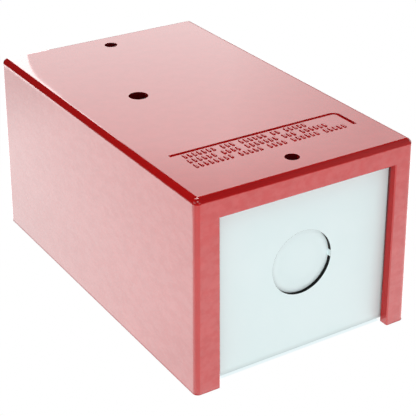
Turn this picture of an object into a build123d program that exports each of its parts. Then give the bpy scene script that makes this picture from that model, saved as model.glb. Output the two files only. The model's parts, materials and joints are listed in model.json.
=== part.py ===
from build123d import *
import os
from math import cos, radians, sin

# Electrical control box. A moulded cover, open as a window at each end, drops over a folded steel chassis.
# The chassis has a conduit knockout in each end plate and carries a circuit board. On the board stand an
# open relay with a hinged armature, two barrier terminal strips, an indicator lamp and its small parts.
# Frame: the origin is the centre of the underside, +X right, +Y from the front end to the rear, +Z up.
# All sizes are in millimetres.

os.makedirs("parts", exist_ok=True)

# ---- Cover -----------------------------------------------------------------------------------------
cover_width = 82.5
cover_length = 137.3
box_height = 67.0
rim_z = 0.15
wall = 3.4
draft = 0.85
edge_radius = 1.85
inner_radius = 0.5
window_x, window_width = 0.8, 66.0
window_top = 59.2
window_draft = 0.25
window_edge = 0.35
screw_span = 116.6
cover_hole_radius = 2.4
view_hole_radius = 3.375
view_x, view_y = -15.7, 9.2
boss_radius = 5.2
boss_gap = 0.3
gusset_width = 2.4
rib_face_x = 36.85
rib_width = 1.6
rib_start = 4.0
rib_pitch = 42.0
border_left, border_right = -31.5, 31.6
border_rear, border_front = -38.1, -48.8
border_corner = 2.0
border_width = 1.4
border_depth = 0.6

# ---- Chassis ---------------------------------------------------------------------------------------
sheet = 1.2
bend_inner = 0.4
chassis_width = 73.3
chassis_length = 128.3
flange_top = 61.4
ear_top = 62.4
ear_width = 22.0
ear_reach = 13.0
ear_start = 50.0
ear_hole_radius = 1.75
ear_collar_radius = 2.9
ear_collar_depth = 1.6
relief_width, relief_depth = 1.4, 1.3
lip_height = 7.0
lip_length = 116.0
mount_x_span, mount_y_span = 50.0, 96.0
mount_hole_radius = 2.4

# ---- Conduit knockouts -----------------------------------------------------------------------------
knockout_radius = 11.2
knockout_x, knockout_z = 0.85, 32.6
shear_gap = 0.05
push_gap = 0.1
tab_width = 2.2
tab_thickness = 0.15

# ---- Circuit board and its supports ----------------------------------------------------------------
board_width, board_length, board_thickness = 67.0, 72.0, 1.6
board_corner = 2.0
standoff_height = 8.0
standoff_across_flats = 6.0
standoff_x_span, standoff_y_span = 59.5, 62.0
board_hole_radius = 1.7
board_screw_head = 2.8
screw_radius = 1.5
screw_grip = 5.0
clearance = 0.05
insulator_width, insulator_length, insulator_thickness = 66.0, 74.0, 0.4
insulator_hole_radius = 3.7
solder_tail = 1.5

# ---- Relay -----------------------------------------------------------------------------------------
relay_x, relay_y = 13.0, 0.0
relay_base_width, relay_base_front, relay_base_rear = 38.0, -20.5, 17.5
relay_base_height, relay_base_corner, relay_base_edge = 4.0, 2.0, 0.6
base_pocket_depth = 0.8
yoke_thickness = 2.4
yoke_width = 18.0
yoke_front, yoke_back = -11.0, 14.0
coil_height = 27.0
core_radius, core_rivet_radius = 4.0, 3.0
pole_radius, pole_thickness, pole_gap = 6.5, 1.6, 0.1
bobbin_flange, bobbin_flange_thickness, bobbin_wall = 20.0, 1.4, 0.9
winding_radius, winding_edge = 9.2, 0.8
coil_pin_radius, coil_pin_x, coil_pin_y = 0.35, 9.5, -6.0
open_angle = 6.0
armature_start, armature_end, armature_thickness = 0.4, 28.5, 2.0
armature_rear_width, armature_front_width = 17.0, 12.0
carrier_start, carrier_end = 20.0, 33.0
carrier_width, carrier_height = 11.0, 3.6
carrier_rivet_u, carrier_rivet_pitch, carrier_rivet_radius = 23.5, 5.0, 1.2
blade_u, blade_depth, blade_half_span, blade_thickness = 30.0, 5.0, 13.5, 0.5
contact_x, contact_radius, contact_height, contact_dome = 11.0, 2.0, 0.9, 0.3
open_contact_gap, closed_contact_gap = 0.15, 0.4
post_thickness, post_width, post_reach = 0.8, 5.0, 9.0
open_post_x, closed_post_x = 15.6, 17.4
hinge_leaf_thickness, hinge_leaf_width = 0.3, 12.0
hinge_leaf_drop, hinge_leaf_reach = 9.0, 8.0
hinge_rivet_radius, hinge_rivet_height = 1.3, 0.6

# ---- Terminal strips -------------------------------------------------------------------------------
strip_y = 29.0
strip_depth, strip_floor, strip_height = 12.6, 6.0, 13.0
terminal_pitch, terminal_count = 9.5, 5
barrier_thickness, barrier_step = 1.5, 3.0
plate_width, plate_depth, plate_thickness = 7.0, 10.6, 0.9
clamp_size, clamp_thickness = 6.4, 0.8
terminal_screw_radius, terminal_head_radius, terminal_head_height = 1.7, 2.9, 1.9
terminal_screw_length = 4.6
terminal_pin_radius, terminal_pin_y = 0.6, 4.2

# ---- Small parts on the board ----------------------------------------------------------------------
lamp_radius, lamp_flange_radius, lamp_flange_height, lamp_height = 2.5, 2.9, 1.0, 8.6
capacitor_x, capacitor_y, capacitor_radius, capacitor_height = -23.0, -9.0, 8.0, 22.0
varistor_x, varistor_y, varistor_radius, varistor_thickness = -12.8, 17.4, 6.0, 4.2
resistor_radius, resistor_length, resistor_pitch = 2.2, 11.0, 6.2
resistor_x, resistor_y, resistor_lift = -26.6, 9.0, 3.6
diode_radius, diode_length, diode_lift = 1.35, 4.6, 1.9
diode_x, diode_y, diode_x_pitch, diode_y_pitch = -10.0, -8.5, 3.4, 10.6
lead_radius, lead_overhang = 0.4, 1.8

# ---- Ground screw ----------------------------------------------------------------------------------
ground_x, ground_y = -14.0, -48.0
ground_radius, ground_across_flats, ground_head_height = 2.0, 7.9, 3.4
ground_flange_radius, ground_flange_height = 5.2, 0.9
washer_radius, washer_thickness, washer_teeth = 4.6, 0.5, 12

# ---- Derived places --------------------------------------------------------------------------------
roof_z = box_height - wall
plate_y = chassis_length / 2
bend_mid = bend_inner + sheet / 2
sheet_mid = sheet / 2
half_chassis = chassis_width / 2
board_z = sheet + standoff_height
board_top = board_z + board_thickness
relay_floor = board_top + relay_base_height - base_pocket_depth
coil_z = relay_floor + yoke_thickness
hinge_y = relay_y + yoke_back
hinge_z = coil_z + coil_height
pole_top = hinge_z - pole_gap
bobbin_top = pole_top - pole_thickness
blade_v = armature_thickness + carrier_height
strip_length = terminal_count * terminal_pitch + barrier_thickness


def save(piece, label):
    """Name a finished piece and write it as its own STEP file."""
    piece.part.label = label
    export_step(piece.part, f"parts/{label}.step")


def folded_sheet(plane, points, thickness, bend, half_width):
    """Return a strip of sheet folded along a centre line on a plane, half its width to each side."""
    with BuildPart() as strip:
        with BuildSketch(plane):
            with BuildLine():
                FilletPolyline(*points, radius=bend)
            trace(line_width=thickness)
        extrude(amount=half_width, both=True)
    return strip.part


# ==== Cover: a drafted shell with rounded edges, an open window in each end and a raised inside =======
with BuildPart() as cover_cavity:
    with BuildSketch(Plane.XY.offset(rim_z)):
        Rectangle(cover_width - 2 * wall, cover_length - 2 * wall)
    extrude(amount=roof_z - rim_z, taper=draft)
    fillet(cover_cavity.edges().group_by(Axis.Z)[1:], radius=inner_radius)

with BuildPart() as cover:
    with BuildSketch(Plane.XY.offset(rim_z)):
        Rectangle(cover_width, cover_length)
    extrude(amount=box_height - rim_z, taper=draft)
    fillet(cover.edges().group_by(Axis.Z)[1:], radius=edge_radius)
    add(cover_cavity.part, mode=Mode.SUBTRACT)

    # Upright ribs inside the long walls, which centre the cover on the chassis.
    rib_middle = rib_face_x + wall / 4
    with BuildSketch(Plane.XY.offset(rib_start)):
        with GridLocations(2 * rib_middle, rib_pitch, 2, 3):
            Rectangle(wall / 2, rib_width)
    extrude(amount=roof_z - rib_start + wall / 4)

    # Bosses over the chassis ears, each tied to its end wall by a gusset.
    boss_bottom = ear_top + boss_gap
    end_wall_y = cover_length / 2 - wall
    with BuildSketch(Plane.XY.offset(boss_bottom)):
        with GridLocations(0, screw_span, 1, 2):
            Circle(boss_radius)
        with GridLocations(0, screw_span / 2 + end_wall_y, 1, 2):
            Rectangle(gusset_width, end_wall_y - screw_span / 2)
    extrude(amount=roof_z - boss_bottom + wall / 4)

    # The window runs out through the rim at both ends.
    with BuildSketch(Plane.XZ):
        with Locations((window_x, window_top / 2)):
            Trapezoid(window_width, window_top, 90.0 - window_draft)
    extrude(amount=cover_length, both=True, mode=Mode.SUBTRACT)
    end_faces = cover.faces().filter_by(GeomType.PLANE).group_by(Axis.Y)
    for end_face in (end_faces[0], end_faces[-1]):
        inner = [
            edge
            for edge in end_face.edges()
            if abs(edge.center().X - window_x) < window_width / 2 + 0.01
            and edge.center().Z < window_top + 0.01
        ]
        chamfer([edge for edge in inner if edge.center().Z > 1.0], length=window_edge)

    # Two screw holes on the centre line, and the viewing hole over the indicator lamp.
    with BuildSketch(Plane.XY.offset(box_height)):
        with GridLocations(0, screw_span, 1, 2):
            Circle(cover_hole_radius)
        with Locations((view_x, view_y)):
            Circle(view_hole_radius)
    extrude(amount=-(box_height - boss_bottom + 1.0), mode=Mode.SUBTRACT)

    # The border groove that frames the notice panel at the front of the top.
    with BuildSketch(Plane.XY.offset(box_height)):
        with BuildLine():
            FilletPolyline(
                (border_left, border_rear),
                (border_right, border_rear),
                (border_right, border_front),
                radius=border_corner,
            )
        trace(line_width=border_width)
    extrude(amount=-border_depth, mode=Mode.SUBTRACT)
save(cover, "cover")


# ==== Chassis: one folded sheet, with end plates, screw ears and low side lips ========================
with BuildPart() as chassis:
    end_mid = plate_y - sheet_mid
    ends = [(-end_mid, flange_top), (-end_mid, sheet_mid), (end_mid, sheet_mid), (end_mid, flange_top)]
    add(folded_sheet(Plane.YZ, ends, sheet, bend_mid, half_chassis))

    # The base narrows between the end plates to make room for the bends of the side lips.
    lip_bend = bend_inner + sheet
    with BuildSketch(Plane.XY):
        with GridLocations(2 * half_chassis, 0, 2, 1):
            Rectangle(2 * lip_bend, lip_length)
    extrude(amount=2 * sheet, mode=Mode.SUBTRACT)
    lip_mid = half_chassis - sheet_mid
    lips = [(-lip_mid, lip_height), (-lip_mid, sheet_mid), (lip_mid, sheet_mid), (lip_mid, lip_height)]
    add(folded_sheet(Plane.XZ, lips, sheet, bend_mid, lip_length / 2))

    # Ears fold inward from the end plates to take the cover screws.
    ear_mid = ear_top - sheet_mid
    for side in (-1, 1):
        tip = (side * (end_mid - ear_reach), ear_mid)
        ear = [(side * end_mid, ear_start), (side * end_mid, ear_mid), tip]
        add(folded_sheet(Plane.YZ, ear, sheet, bend_mid, ear_width / 2))
    with BuildSketch(Plane.XZ):
        with GridLocations(ear_width + relief_width, 2 * flange_top, 2, 2):
            Rectangle(relief_width, 2 * relief_depth)
    extrude(amount=chassis_length, both=True, mode=Mode.SUBTRACT)
    ear_tips = chassis.edges().filter_by(Axis.Z).filter_by(lambda e: e.center().Z > ear_mid - sheet_mid)
    fillet(ear_tips.filter_by(lambda e: abs(e.center().Y) < end_mid - ear_reach + 0.1), radius=2.5)

    # Drawn collars under the ears give the screws their thread length.
    with BuildSketch(Plane.XY.offset(ear_top - sheet)):
        with GridLocations(0, screw_span, 1, 2):
            Circle(ear_collar_radius)
    extrude(amount=-ear_collar_depth)
    with BuildSketch(Plane.XY.offset(ear_top)):
        with GridLocations(0, screw_span, 1, 2):
            Circle(ear_hole_radius)
    extrude(amount=-2 * (sheet + ear_collar_depth), mode=Mode.SUBTRACT)

    # Fixing holes in the base, the ground screw's hole and the two knockout holes.
    with BuildSketch(Plane.XY):
        with GridLocations(mount_x_span, mount_y_span, 2, 2):
            Circle(mount_hole_radius)
        with Locations((ground_x, ground_y)):
            Circle(ground_radius + clearance)
    extrude(amount=2 * sheet, mode=Mode.SUBTRACT)
    with BuildSketch(Plane.XZ):
        with Locations((knockout_x, knockout_z)):
            Circle(knockout_radius)
    extrude(amount=chassis_length, both=True, mode=Mode.SUBTRACT)
save(chassis, "chassis")


# ==== Knockouts: a sheared disc pushed in clear of the plate, held by a single tab ====================
def knockout(label, side):
    """Make the knockout of the front end plate (side -1) or the rear one (side 1)."""
    disc_y = side * (plate_y - sheet - push_gap)
    disc_radius = knockout_radius - shear_gap
    with BuildPart() as disc:
        with BuildSketch(Plane.XZ.offset(-disc_y)):
            with Locations((knockout_x, knockout_z)):
                Circle(disc_radius)
        extrude(amount=side * sheet)
        # The tab runs along the wall of the hole, from the outer face of the plate to the disc.
        with BuildSketch(Plane.XZ.offset(-disc_y)):
            with Locations((knockout_x, knockout_z)):
                Circle(disc_radius)
                Circle(disc_radius - tab_thickness, mode=Mode.SUBTRACT)
            with Locations((knockout_x - side * disc_radius, knockout_z)):
                Rectangle(disc_radius, tab_width, mode=Mode.INTERSECT)
        extrude(amount=-side * (sheet + push_gap))
    save(disc, label)


knockout("front_knockout", -1)
knockout("rear_knockout", 1)


# ==== Board supports: insulating sheet, hexagonal standoffs and the board's screws ====================
def slotted_screw(head_radius, head_height, shank_radius, shank_length):
    """Return a slotted pan-head screw with its head standing on the origin and its shank below."""
    crown_radius, side_height = 0.5 * head_radius, 0.35 * head_height
    with BuildPart() as screw:
        with BuildSketch(Plane.XZ):
            with BuildLine():
                Line((0, head_height), (crown_radius, head_height))
                TangentArc((crown_radius, head_height), (head_radius, side_height), tangent=(1, 0))
                Polyline(
                    (head_radius, side_height),
                    (head_radius, 0),
                    (shank_radius, 0),
                    (shank_radius, -shank_length),
                    (0, -shank_length),
                    (0, head_height),
                )
            make_face()
        revolve(axis=Axis.Z)
        with BuildSketch(Plane.XY.offset(head_height)):
            Rectangle(3 * head_radius, head_radius / 3)
        extrude(amount=-head_height / 2, mode=Mode.SUBTRACT)
    return screw.part


standoff_spots = [(x * standoff_x_span / 2, y * standoff_y_span / 2) for x in (-1, 1) for y in (-1, 1)]

with BuildPart() as insulating_sheet:
    with BuildSketch(Plane.XY.offset(sheet)):
        Rectangle(insulator_width, insulator_length)
        with Locations(*standoff_spots):
            Circle(insulator_hole_radius, mode=Mode.SUBTRACT)
    extrude(amount=insulator_thickness)
save(insulating_sheet, "insulating_sheet")

with BuildPart() as board_standoffs:
    with BuildSketch(Plane.XY.offset(sheet)):
        with Locations(*standoff_spots):
            RegularPolygon(standoff_across_flats / 2, side_count=6, major_radius=False)
            Circle(screw_radius + clearance, mode=Mode.SUBTRACT)
    extrude(amount=standoff_height)
save(board_standoffs, "board_standoffs")

board_screw = slotted_screw(board_screw_head, 2.0, screw_radius, board_thickness + screw_grip)
with BuildPart() as board_screws:
    with Locations(*[(x, y, board_top) for x, y in standoff_spots]):
        add(board_screw)
save(board_screws, "board_screws")


# ==== Circuit board: holes for its screws, the relay's posts and pins, and the terminals ==============
def relay_slots(plane, depth):
    """Return the bars that pass through the relay's post slots and pin holes, from a plane down."""
    with BuildPart() as bars:
        with BuildSketch(plane):
            for post_x, post_y in ((open_post_x, open_contact_y), (closed_post_x, closed_contact_y)):
                with Locations((relay_x, post_y)):
                    with GridLocations(2 * post_x, 0, 2, 1):
                        Rectangle(post_thickness + 2 * clearance, post_width + 2 * clearance)
            with Locations((relay_x, relay_y + coil_pin_y)):
                with GridLocations(2 * coil_pin_x, 0, 2, 1):
                    Circle(coil_pin_radius + clearance)
        extrude(amount=-depth)
    return bars.part


def armature_point(u, v):
    """Return (y, z) of a point u forward of the hinge and v above the armature, with the relay open."""
    rise, run = sin(radians(open_angle)), cos(radians(open_angle))
    return hinge_y - u * run + v * rise, hinge_z + u * rise + v * run


open_contact_y = hinge_y - blade_u
open_contact_z = hinge_z + blade_v - contact_height - open_contact_gap
closed_contact_y, closed_contact_z = armature_point(blade_u, blade_v + blade_thickness + contact_height)
closed_contact_z += closed_contact_gap
terminal_x = [(n - (terminal_count - 1) / 2) * terminal_pitch for n in range(terminal_count)]

with BuildPart() as circuit_board:
    with BuildSketch(Plane.XY.offset(board_z)):
        RectangleRounded(board_width, board_length, board_corner)
        with Locations(*standoff_spots):
            Circle(board_hole_radius, mode=Mode.SUBTRACT)
        with GridLocations(terminal_pitch, 2 * (strip_y - terminal_pin_y), terminal_count, 2):
            Circle(terminal_pin_radius + clearance, mode=Mode.SUBTRACT)
    extrude(amount=board_thickness)
    add(relay_slots(Plane.XY.offset(board_top), board_thickness), mode=Mode.SUBTRACT)
save(circuit_board, "circuit_board")


# ==== Relay: base, iron circuit and coil ==============================================================
with BuildPart() as relay_base:
    base_middle = (relay_x, relay_y + (relay_base_front + relay_base_rear) / 2)
    with BuildSketch(Plane.XY.offset(board_top)):
        with Locations(base_middle):
            RectangleRounded(relay_base_width, relay_base_rear - relay_base_front, relay_base_corner)
    extrude(amount=relay_base_height)
    chamfer(relay_base.faces().sort_by(Axis.Z)[-1].edges(), length=relay_base_edge)
    with BuildSketch(Plane.XY.offset(relay_floor)):
        with Locations((relay_x, relay_y + (yoke_front + yoke_back) / 2)):
            Rectangle(yoke_width + 2 * clearance, yoke_back - yoke_front + 2 * clearance)
    extrude(amount=2 * base_pocket_depth, mode=Mode.SUBTRACT)
    add(relay_slots(Plane.XY.offset(board_top + relay_base_height), relay_base_height), mode=Mode.SUBTRACT)
save(relay_base, "relay_base")

with BuildPart() as relay_yoke:
    yoke_mid = yoke_thickness / 2
    yoke_line = [
        (relay_y + yoke_front, relay_floor + yoke_mid),
        (hinge_y - yoke_mid, relay_floor + yoke_mid),
        (hinge_y - yoke_mid, hinge_z),
    ]
    yoke_plane = Plane.YZ.offset(relay_x)
    add(folded_sheet(yoke_plane, yoke_line, yoke_thickness, yoke_thickness, yoke_width / 2))
    with BuildSketch(Plane.XY.offset(relay_floor)):
        with Locations((relay_x, relay_y)):
            Circle(core_rivet_radius)
    extrude(amount=yoke_thickness, mode=Mode.SUBTRACT)
save(relay_yoke, "relay_yoke")

with BuildPart() as relay_core:
    for start, end, radius in (
        (relay_floor, coil_z, core_rivet_radius),
        (coil_z, bobbin_top, core_radius),
        (bobbin_top, pole_top, pole_radius),
    ):
        with BuildSketch(Plane.XY.offset(start)):
            with Locations((relay_x, relay_y)):
                Circle(radius)
        extrude(amount=end - start)
    chamfer(relay_core.faces().sort_by(Axis.Z)[-1].edges(), length=0.4)
save(relay_core, "relay_core")

with BuildPart() as relay_bobbin:
    bore = core_radius + clearance
    for start in (coil_z, bobbin_top - bobbin_flange_thickness):
        with BuildSketch(Plane.XY.offset(start)):
            with Locations((relay_x, relay_y)):
                RectangleRounded(bobbin_flange, bobbin_flange, 3.0)
        extrude(amount=bobbin_flange_thickness)
    with BuildSketch(Plane.XY.offset(coil_z)):
        with Locations((relay_x, relay_y)):
            Circle(bore + bobbin_wall)
    extrude(amount=bobbin_top - coil_z)
    with BuildSketch(Plane.XY.offset(coil_z)):
        with Locations((relay_x, relay_y)):
            Circle(bore)
        with Locations((relay_x, relay_y + coil_pin_y)):
            with GridLocations(2 * coil_pin_x, 0, 2, 1):
                Circle(coil_pin_radius)
    extrude(amount=bobbin_flange_thickness, mode=Mode.SUBTRACT)
    with BuildSketch(Plane.XY.offset(coil_z)):
        with Locations((relay_x, relay_y)):
            Circle(bore)
    extrude(amount=bobbin_top - coil_z, mode=Mode.SUBTRACT)
save(relay_bobbin, "relay_bobbin")

with BuildPart() as relay_winding:
    with BuildSketch(Plane.XY.offset(coil_z + bobbin_flange_thickness)):
        with Locations((relay_x, relay_y)):
            Circle(winding_radius)
            Circle(core_radius + clearance + bobbin_wall, mode=Mode.SUBTRACT)
    extrude(amount=bobbin_top - coil_z - 2 * bobbin_flange_thickness)
    rims = relay_winding.edges().filter_by(GeomType.CIRCLE).group_by(SortBy.RADIUS)[-1]
    fillet(rims, radius=winding_edge)
save(relay_winding, "relay_winding")

with BuildPart() as coil_pins:
    with BuildSketch(Plane.XY.offset(board_z - solder_tail)):
        with Locations((relay_x, relay_y + coil_pin_y)):
            with GridLocations(2 * coil_pin_x, 0, 2, 1):
                Circle(coil_pin_radius)
    extrude(amount=coil_z + bobbin_flange_thickness - board_z + solder_tail)
save(coil_pins, "coil_pins")


# ==== Relay: armature, its insulating carrier and the moving contact blade ============================
# The armature stands open. Its own plane has x to the right and y back towards the hinge.
rise, run = sin(radians(open_angle)), cos(radians(open_angle))
armature_plane = Plane(origin=(relay_x, hinge_y, hinge_z), x_dir=(1, 0, 0), z_dir=(0, rise, run))

with BuildPart() as relay_armature:
    with BuildSketch(armature_plane):
        with BuildLine():
            Polyline(
                (-armature_rear_width / 2, -armature_start),
                (-armature_rear_width / 2, -carrier_start),
                (-armature_front_width / 2, -armature_end),
                (armature_front_width / 2, -armature_end),
                (armature_rear_width / 2, -carrier_start),
                (armature_rear_width / 2, -armature_start),
                close=True,
            )
        make_face()
        with Locations((0, -carrier_rivet_u)):
            with GridLocations(carrier_rivet_pitch, 0, 2, 1):
                Circle(carrier_rivet_radius, mode=Mode.SUBTRACT)
    extrude(amount=armature_thickness)
save(relay_armature, "relay_armature")

with BuildPart() as contact_carrier:
    with BuildSketch(armature_plane.offset(armature_thickness)):
        with Locations((0, -(carrier_start + carrier_end) / 2)):
            RectangleRounded(carrier_width, carrier_end - carrier_start, 1.5)
        with Locations((0, -carrier_rivet_u)):
            with GridLocations(carrier_rivet_pitch, 0, 2, 1):
                Circle(carrier_rivet_radius, mode=Mode.SUBTRACT)
    extrude(amount=carrier_height)
save(contact_carrier, "contact_carrier")

with BuildPart() as carrier_rivets:
    grip = armature_thickness + carrier_height
    rivet_head = 0.6
    for start, height, radius in ((0, grip, 1.0), (grip, rivet_head, 1.7)):
        with BuildSketch(armature_plane.offset(start)):
            with Locations((0, -carrier_rivet_u)):
                with GridLocations(carrier_rivet_pitch, 0, 2, 1):
                    Circle(radius * carrier_rivet_radius)
        extrude(amount=height)
save(carrier_rivets, "carrier_rivets")

with BuildPart() as contact_blade:
    waist = 0.6 * blade_depth
    with BuildSketch(armature_plane.offset(blade_v)):
        with Locations((0, -blade_u)):
            Rectangle(2 * blade_half_span, waist)
            with GridLocations(2 * contact_x, 0, 2, 1):
                RectangleRounded(blade_depth, blade_depth, 1.0)
    extrude(amount=blade_thickness)
    for start, height in ((blade_v, -contact_height), (blade_v + blade_thickness, contact_height)):
        with BuildSketch(armature_plane.offset(start)):
            with Locations((0, -blade_u)):
                with GridLocations(2 * contact_x, 0, 2, 1):
                    Circle(contact_radius)
        extrude(amount=height)
save(contact_blade, "contact_blade")


# ==== Relay: fixed contacts on their posts, and the flat hinge spring =================================
def contact_posts(label, post_x, contact_y, contact_z, facing):
    """Make the two posts whose contacts face up (facing 1) or down (facing -1) at contact_z."""
    arm_z = contact_z - facing * (contact_height + post_thickness / 2)
    with BuildPart() as posts:
        for side in (-1, 1):
            line = [
                (relay_x + side * post_x, board_z - solder_tail),
                (relay_x + side * post_x, arm_z),
                (relay_x + side * post_reach, arm_z),
            ]
            post_plane = Plane.XZ.offset(-contact_y)
            add(folded_sheet(post_plane, line, post_thickness, post_thickness, post_width / 2))
        with BuildSketch(Plane.XY.offset(contact_z - facing * contact_height)):
            with Locations((relay_x, contact_y)):
                with GridLocations(2 * contact_x, 0, 2, 1):
                    Circle(contact_radius)
        extrude(amount=facing * contact_height)
        tips = posts.faces().filter_by(lambda f: abs(f.center().Z - contact_z) < clearance)
        chamfer(tips.edges(), length=contact_dome)
    save(posts, label)


contact_posts("open_contact_posts", open_post_x, open_contact_y, open_contact_z, 1)
contact_posts("closed_contact_posts", closed_post_x, closed_contact_y, closed_contact_z, -1)

with BuildPart() as hinge_spring:
    leaf_gap = 2 * clearance + hinge_leaf_thickness / 2
    leaf_y = hinge_y + hinge_leaf_thickness / 2
    corner_u = (leaf_y - hinge_y) / -run + (armature_thickness + leaf_gap) * rise / run
    leaf_line = [
        (leaf_y, hinge_z - hinge_leaf_drop),
        armature_point(corner_u, armature_thickness + leaf_gap),
        armature_point(hinge_leaf_reach, armature_thickness + leaf_gap),
    ]
    leaf_bend = 2 * hinge_leaf_thickness
    add(folded_sheet(yoke_plane, leaf_line, hinge_leaf_thickness, leaf_bend, hinge_leaf_width / 2))
save(hinge_spring, "hinge_spring")

with BuildPart() as hinge_rivets:
    with BuildSketch(Plane.XZ.offset(-(hinge_y + hinge_leaf_thickness))):
        with Locations((relay_x, hinge_z - 0.65 * hinge_leaf_drop)):
            with GridLocations(hinge_leaf_width / 2, 0, 2, 1):
                Circle(hinge_rivet_radius)
    extrude(amount=-hinge_rivet_height)
    chamfer(hinge_rivets.faces().group_by(Axis.Y)[-1].edges(), length=hinge_rivet_height / 2)
save(hinge_rivets, "hinge_rivets")


# ==== Terminal strips: moulded barrier strips with plates, solder pins and clamping screws ============
def terminal_strip(name, side):
    """Make the strip at the front (side -1) or the rear (side 1), with its open face to that end."""
    middle = side * strip_y
    floor_z = board_top + strip_floor
    screw_spots = [(x, middle, floor_z + plate_thickness + clamp_thickness) for x in terminal_x]

    back, face = middle - side * strip_depth / 2, middle + side * strip_depth / 2
    with BuildPart() as strip:
        with BuildSketch(Plane.YZ.offset(-strip_length / 2)):
            with BuildLine():
                Polyline(
                    (back, board_top),
                    (face, board_top),
                    (face, floor_z),
                    (back + side * barrier_thickness, floor_z),
                    (back + side * barrier_thickness, board_top + strip_height),
                    (back, board_top + strip_height),
                    close=True,
                )
            make_face()
        extrude(amount=strip_length)
        for n in range(terminal_count + 1):
            with BuildSketch(Plane.YZ.offset(n * terminal_pitch - strip_length / 2)):
                with BuildLine():
                    Polyline(
                        (back, board_top),
                        (face, board_top),
                        (face, board_top + strip_height - barrier_step),
                        (face - side * barrier_step, board_top + strip_height),
                        (back, board_top + strip_height),
                        close=True,
                    )
                make_face()
            extrude(amount=barrier_thickness)
        with BuildSketch(Plane.XY.offset(floor_z)):
            with Locations((0, middle)):
                with GridLocations(terminal_pitch, 0, terminal_count, 1):
                    Circle(terminal_screw_radius + clearance)
            with Locations((0, middle - side * terminal_pin_y)):
                with GridLocations(terminal_pitch, 0, terminal_count, 1):
                    Circle(terminal_pin_radius + clearance)
        extrude(amount=-strip_floor, mode=Mode.SUBTRACT)
    save(strip, f"{name}_terminal_strip")

    plate_middle = middle + side * (barrier_thickness + clearance) / 2
    with BuildPart() as plates:
        with BuildSketch(Plane.XY.offset(floor_z)):
            with Locations((0, plate_middle)):
                with GridLocations(terminal_pitch, 0, terminal_count, 1):
                    Rectangle(plate_width, plate_depth)
            with Locations((0, middle)):
                with GridLocations(terminal_pitch, 0, terminal_count, 1):
                    Circle(terminal_screw_radius + clearance, mode=Mode.SUBTRACT)
        extrude(amount=plate_thickness)
        with BuildSketch(Plane.XY.offset(floor_z)):
            with Locations((0, middle - side * terminal_pin_y)):
                with GridLocations(terminal_pitch, 0, terminal_count, 1):
                    Circle(terminal_pin_radius)
        extrude(amount=board_z - solder_tail - floor_z)
    save(plates, f"{name}_terminal_plates")

    terminal_screw = slotted_screw(
        terminal_head_radius, terminal_head_height, terminal_screw_radius, terminal_screw_length
    )
    with BuildPart() as screws:
        with BuildSketch(Plane.XY.offset(floor_z + plate_thickness)):
            with Locations((0, middle)):
                with GridLocations(terminal_pitch, 0, terminal_count, 1):
                    Rectangle(clamp_size, clamp_size)
        extrude(amount=clamp_thickness)
        with Locations(*screw_spots):
            add(terminal_screw)
    save(screws, f"{name}_terminal_screws")


terminal_strip("front", -1)
terminal_strip("rear", 1)


# ==== Small parts on the board ========================================================================
with BuildPart() as indicator_lamp:
    with BuildSketch(Plane.XZ.offset(-view_y)):
        with BuildLine():
            dome_base = board_top + lamp_height - lamp_radius
            Polyline(
                (view_x, board_top + lamp_height),
                (view_x, board_top),
                (view_x + lamp_flange_radius, board_top),
                (view_x + lamp_flange_radius, board_top + lamp_flange_height),
                (view_x + lamp_radius, board_top + lamp_flange_height),
                (view_x + lamp_radius, dome_base),
            )
            RadiusArc((view_x + lamp_radius, dome_base), (view_x, board_top + lamp_height), -lamp_radius)
        make_face()
    revolve(axis=Axis((view_x, view_y, 0), (0, 0, 1)))
save(indicator_lamp, "indicator_lamp")

with BuildPart() as filter_capacitor:
    bead_z, bead_depth = 2.6, 0.5
    with BuildSketch(Plane.XY.offset(board_top)):
        with Locations((capacitor_x, capacitor_y)):
            Circle(capacitor_radius)
    extrude(amount=capacitor_height)
    fillet(filter_capacitor.edges().group_by(Axis.Z)[-1], radius=1.0)
    with BuildSketch(Plane.XY.offset(board_top + bead_z)):
        with Locations((capacitor_x, capacitor_y)):
            Circle(capacitor_radius)
            Circle(capacitor_radius - bead_depth, mode=Mode.SUBTRACT)
    extrude(amount=bead_depth, mode=Mode.SUBTRACT)
save(filter_capacitor, "filter_capacitor")

with BuildPart() as varistor:
    varistor_z = board_top + varistor_radius + lead_overhang
    with BuildSketch(Plane.XZ.offset(-varistor_y)):
        with Locations((varistor_x, varistor_z)):
            Circle(varistor_radius)
    extrude(amount=varistor_thickness / 2, both=True)
    fillet(varistor.edges().filter_by(GeomType.CIRCLE), radius=1.2)
    with BuildSketch(Plane.XY.offset(board_top)):
        with Locations((varistor_x, varistor_y)):
            with GridLocations(varistor_radius, 0, 2, 1):
                Circle(lead_radius)
    extrude(amount=2 * lead_overhang)
save(varistor, "varistor")


def axial_part(body_radius, body_length, lift):
    """Return a part lying along Y above the origin, with both leads bent down to the board."""
    reach = body_length / 2 + lead_overhang
    with BuildPart() as axial:
        with BuildSketch(Plane.XZ):
            with Locations((0, lift)):
                Circle(body_radius)
        extrude(amount=body_length / 2, both=True)
        fillet(axial.edges().filter_by(GeomType.CIRCLE), radius=body_radius / 3)
        for side in (-1, 1):
            with BuildLine(Plane.YZ) as lead:
                bend = ((side * body_length / 4, lift), (side * reach, lift), (side * reach, 0))
                FilletPolyline(*bend, radius=2 * lead_radius)
            with BuildSketch(Plane.XY):
                with Locations((0, side * reach)):
                    Circle(lead_radius)
            sweep(path=lead.line)
    return axial.part


dropping_resistor = axial_part(resistor_radius, resistor_length, resistor_lift)
with BuildPart() as dropping_resistors:
    with Locations((resistor_x, resistor_y, board_top)):
        with GridLocations(resistor_pitch, 0, 2, 1):
            add(dropping_resistor)
save(dropping_resistors, "dropping_resistors")

rectifier_diode = axial_part(diode_radius, diode_length, diode_lift)
with BuildPart() as rectifier_diodes:
    with Locations((diode_x, diode_y, board_top)):
        with GridLocations(diode_x_pitch, diode_y_pitch, 2, 2):
            add(rectifier_diode)
save(rectifier_diodes, "rectifier_diodes")


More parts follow.
